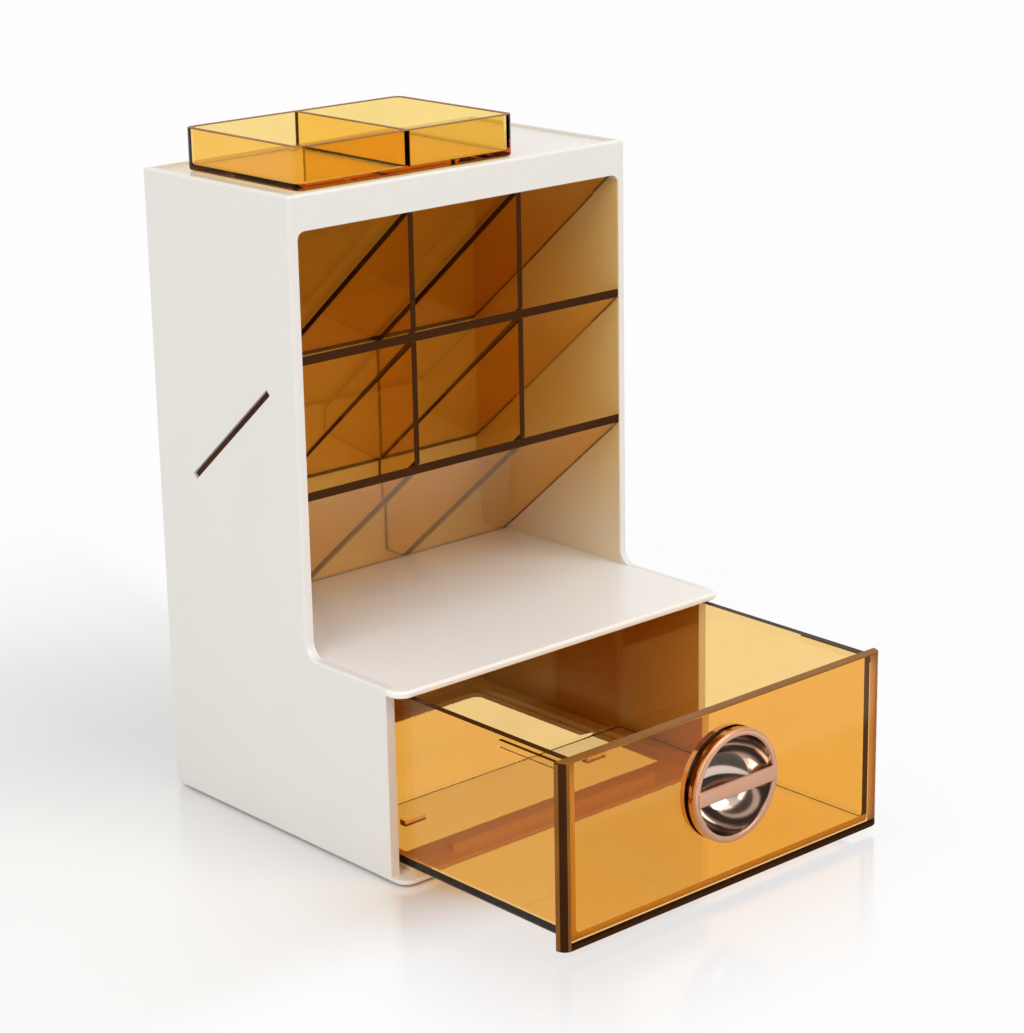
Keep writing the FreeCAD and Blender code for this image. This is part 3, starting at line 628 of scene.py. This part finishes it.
def dividerFinish(face, low, high):
    # the sides darken beside the sloping edges and the half-lap slots
    reach = [vertex.co.dot(sheetNormal) for vertex in face.verts]
    slack = dividerValues["slack"]
    for start, end in dividerValues["strips"]:
        if min(reach) > start - slack and max(reach) < end + slack:
            return darkFace
    return clearFace if abs(face.normal.x) > pickValues["facing"] else darkFace


def trayFinish(face, low, high):
    # the top rim gets the brown painted shade
    return rimFace if isTopRim(face, high) else clearFace


tubValues = {
    "bottom": 0.0045,
    "floorTop": 0.0065,
    "rightEnd": 0.05,  # x past which a front end belongs to the right wall
    "endFoot": 0.006,  # and its dark part stands this far above the tub's lowest point
    "sideFoot": 0.0595,  # x past which a foot edge belongs to a side
}


def tubFinish(face, low, high):
    # painted shade on the top rim and on the right wall's front end above its foot; painted light on the
    # other front ends
    middle = face.calc_center_median()
    if face.normal.y < -pickValues["facing"] and middle.y < low[1] + pickValues["end"]:
        isRight = middle.x > tubValues["rightEnd"] and middle.z > low[2] + tubValues["endFoot"]
        return darkFace if isRight else paleFace
    return darkFace if isTopRim(face, high) else clearFace


plateValues = {
    "bottom": 0.0025,
    "footStrip": 0.0016,
    "wallEnd": 0.0605,  # x just past the tub's wall, where the plate's back is bare
    "side": 0.06,  # x past which a face belongs to a rounded side
    "leftTurn": 0.10,  # the left side's faces turn out at least this much
    "darkTurn": (0.40, 0.93),  # and are dark between these two
    "rightTurn": 0.6,
    "topTurn": 0.3,
    "topDepth": 0.001,
}


def plateFinish(face, low, high):
    # painted shade: the rounded sides and the foot of the plate get dark or brown opaque faces for the
    # dark of its depth, the foot also for its contact shade; the back past the tub's wall gets the
    # painted reflection strip
    middle = face.calc_center_median()
    turn = abs(face.normal.x)
    if middle.x < -plateValues["side"] and turn > plateValues["leftTurn"]:
        start, end = plateValues["darkTurn"]
        return darkFace if start < turn < end else rimFace
    if middle.z < low[2] + plateValues["footStrip"]:
        return darkFace
    if middle.x > plateValues["wallEnd"] and face.normal.y > pickValues["facing"]:
        return stripFace
    if middle.x > plateValues["side"] and turn > plateValues["rightTurn"]:
        return rimFace
    isTop = face.normal.z > plateValues["topTurn"] and middle.z > high[2] - plateValues["topDepth"]
    return rimFace if isTop else clearFace


def anyEdge(edge, low, high):
    return True


def slopingEdge(edge, low, high):
    line = (edge.verts[1].co - edge.verts[0].co).normalized()
    return abs(line.dot(slopeLine)) > pickValues["along"]


def tubFoot(edge, low, high):
    first, second = (vertex.co for vertex in edge.verts)
    isSide = min(abs(first.x), abs(second.x)) > tubValues["sideFoot"]
    return isSide and max(first.z, second.z) < tubValues["bottom"] + pickValues["near"]


def tubEasy(edge, low, high):
    # every sharp edge but the front ends, which meet the plate
    return max(vertex.co.y for vertex in edge.verts) > low[1] + pickValues["end"]


def trayFoot(edge, low, high):
    return max(vertex.co.z for vertex in edge.verts) < low[2] + pickValues["near"]


stripCuts = [(sheetNormal * place, sheetNormal) for place in dividerValues["cuts"]]
cutValues = {
    # node: where its faces are parted so that the parts can differ in finish
    "divider_left": stripCuts,
    "divider_right": stripCuts,
    "drawer_tub": [((0, 0, tubValues["floorTop"]), (0, 0, 1))],
    "drawer_front": [
        ((0, 0, plateValues["bottom"] + plateValues["footStrip"]), (0, 0, 1)),
        ((plateValues["wallEnd"], 0, 0), (1, 0, 0)),
    ],
}
# painted shade: eased edges take the dark finish and the tray's upper edges the brown one; the wider dark
# bevels along the tub's and tray's feet stand in for their contact shade
sheetEdges = [(anyEdge, 0.0002, darkFace)]
dividerEdges = [(slopingEdge, 0.0004, darkFace), (anyEdge, 0.00015, darkFace)]
easeValues = {
    # node: its faces' finish, then edge sets with their eased width in metres and finish
    "upper_slant_sheet": (sheetFinish, sheetEdges),
    "middle_slant_sheet": (sheetFinish, sheetEdges),
    "lower_slant_sheet": (sheetFinish, sheetEdges),
    "divider_left": (dividerFinish, dividerEdges),
    "divider_right": (dividerFinish, dividerEdges),
    "drawer_tub": (tubFinish, [(tubFoot, 0.0010, darkFace), (tubEasy, 0.0002, darkFace)]),
    "drawer_front": (plateFinish, []),
    "top_tray": (trayFinish, [(trayFoot, 0.0004, darkFace), (anyEdge, 0.0002, rimFace)]),
}
meshValues = {
    "weld": 2e-6,  # metres
    "flat": 0.4,  # degrees below which faces join into one
    "segments": 3,
}


def isSharp(edge):
    return len(edge.link_faces) == 2 and edge.calc_face_angle() > math.radians(pickValues["sharp"])


def weighNormals(piece):
    weigh = piece.modifiers.new("weigh", "WEIGHTED_NORMAL")
    weigh.keep_sharp = True


def addEased(name, finishOf, edgeSets):
    # a copy of a CAD node with eased sharp edges, whose cut faces and bevels take the opaque finishes of
    # painted shade, light and reflection
    source = nodes[name]
    low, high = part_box(name)
    mesh = source.data.copy()
    mesh.name = name + "_eased"
    if "custom_normal" in mesh.attributes:
        mesh.attributes.remove(mesh.attributes["custom_normal"])
    mesh.materials.clear()
    mesh.materials.append(drawerAmber if name.startswith("drawer") else finishes["amber_plastic"])
    for material in (cutEdgeShade, rimEdgeShade, paleEndLight, mauveStripReflection):
        mesh.materials.append(material)
    shape = bmesh.new()
    shape.from_mesh(mesh)
    bmesh.ops.remove_doubles(shape, verts=shape.verts, dist=meshValues["weld"])
    flat = math.radians(meshValues["flat"])
    bmesh.ops.dissolve_limit(shape, angle_limit=flat, verts=shape.verts, edges=shape.edges)
    for place, normal in cutValues.get(name, []):
        everything = shape.verts[:] + shape.edges[:] + shape.faces[:]
        bmesh.ops.bisect_plane(shape, geom=everything, plane_co=place, plane_no=normal)
    shape.normal_update()
    for face in shape.faces:
        face.smooth = True
        face.material_index = finishOf(face, low, high)
    eased = set()
    for pick, width, index in edgeSets:
        edges = [edge for edge in shape.edges if isSharp(edge) and pick(edge, low, high)]
        edges = [edge for edge in edges if not eased.intersection(edge.link_faces)]
        made = bmesh.ops.bevel(
            shape, geom=edges, offset=width, offset_type="OFFSET", segments=meshValues["segments"],
            profile=0.5, affect="EDGES", clamp_overlap=True, material=-1,
        )
        for face in made["faces"]:
            face.material_index = index
        eased.update(made["faces"])
    for edge in shape.edges:
        edge.smooth = not isSharp(edge)
    shape.to_mesh(mesh)
    shape.free()
    piece = addObject(name + "_eased", mesh)
    weighNormals(piece)
    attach(piece, source["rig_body"])
    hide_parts(name)


for name, (finishOf, edgeSets) in easeValues.items():
    addEased(name, finishOf, edgeSets)
print("eased pieces ready:", len(easeValues))


cupValues = {
    "height": 0.03405,  # centre of the pull above the floor
    "face": -0.08725,  # y of the drawer front's face
    "radius": 0.0167,
    "opening": 0.0147,
    "rim": 0.0029,
    "depth": 0.0125,
    "wall": 0.0008,
    "lip": 0.0006,
    "outerRound": 0.0008,
    "arcSteps": 28,
    "roundSteps": 6,
    "lipSteps": 4,
    "spinSteps": 128,
    "weld": 1e-6,
}
# the finishes of its faces, in the order of its slots
flangeFace, bowlFace, roundFace = range(3)


def arcPoints(reach, out, size, start, end, steps):
    # an arc of a profile, its angles measured from the axis' outward end
    angles = [start + (end - start) * step / steps for step in range(steps + 1)]
    return [(reach + size * math.sin(angle), out + size * math.cos(angle)) for angle in angles]


def addCup(values):
    # the round pull: a profile from the bowl's back to its floor, spun about its axis
    rim, depth, opening, radius = (values[key] for key in ("rim", "depth", "opening", "radius"))
    edge, lip = values["outerRound"], values["lip"]
    drop = rim + depth
    bend = (opening**2 + drop**2) / 2 / drop
    centre = bend - depth
    outer = bend + values["wall"]
    profile = arcPoints(0, centre, outer, math.pi, math.acos(-centre / outer), values["arcSteps"])
    profile.append((radius, 0.0))
    profile += arcPoints(radius - edge, rim - edge, edge, math.pi / 2, 0, values["roundSteps"])
    profile += arcPoints(opening + lip, rim - lip, lip, 0, -math.pi / 2, values["lipSteps"])
    startAngle = math.acos((rim - lip - centre) / bend)
    profile += arcPoints(0, centre, bend, startAngle, math.pi, values["arcSteps"])[1:]
    shape = bmesh.new()
    ring = [shape.verts.new((max(reach, 0.0), -out, 0)) for reach, out in profile]
    edges = [shape.edges.new(pair) for pair in zip(ring, ring[1:])]
    bmesh.ops.spin(
        shape, geom=ring + edges, axis=(0, 1, 0), cent=(0, 0, 0), angle=math.tau,
        steps=values["spinSteps"], use_merge=True,
    )
    bmesh.ops.remove_doubles(shape, verts=shape.verts, dist=values["weld"])
    bmesh.ops.recalc_face_normals(shape, faces=shape.faces)
    for face in shape.faces:
        face.smooth = True
        middle = face.calc_center_median()
        isInside = face.normal.dot(Vector((0, -centre, 0)) - middle) > 0
        face.material_index = bowlFace if isInside and middle.y > -(rim - lip) else flangeFace
        if middle.y < -(rim - edge):
            face.material_index = roundFace
    bmesh.ops.translate(shape, verts=shape.verts, vec=(0, values["face"], values["height"]))
    mesh = bpy.data.meshes.new("pullBowl")
    shape.to_mesh(mesh)
    shape.free()
    for material in (finishes["rose_gold"], paleGold, satinRose):
        mesh.materials.append(material)
    piece = addObject("pullBowl", mesh)
    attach(piece, "drawer")
    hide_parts("pull_cup")


barValues = {
    "length": 0.0314,
    "height": 0.0044,
    "round": 0.0004,
    "segments": 3,
    "seat": 0.0006,  # how far it sits inside the plain bar's place
}


def addBar(values):
    low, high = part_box("pull_bar")
    shape = bmesh.new()
    bmesh.ops.create_cube(shape, size=1)
    size = (values["length"], high[1] - low[1], values["height"])
    bmesh.ops.scale(shape, verts=shape.verts, vec=size)
    middle = Vector(low).lerp(Vector(high), 0.5) + Vector((0, values["seat"], 0))
    bmesh.ops.translate(shape, verts=shape.verts, vec=middle)
    bmesh.ops.bevel(
        shape, geom=shape.edges[:], offset=values["round"], offset_type="OFFSET",
        segments=values["segments"], profile=0.5, affect="EDGES", clamp_overlap=True, material=-1,
    )
    for face in shape.faces:
        face.smooth = True
    mesh = bpy.data.meshes.new("pullBar")
    shape.to_mesh(mesh)
    shape.free()
    mesh.materials.append(satinRose)
    piece = addObject("pullBar", mesh)
    weighNormals(piece)
    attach(piece, "drawer")
    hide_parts("pull_bar")


addCup(cupValues)
addBar(barValues)
print("pull ready")
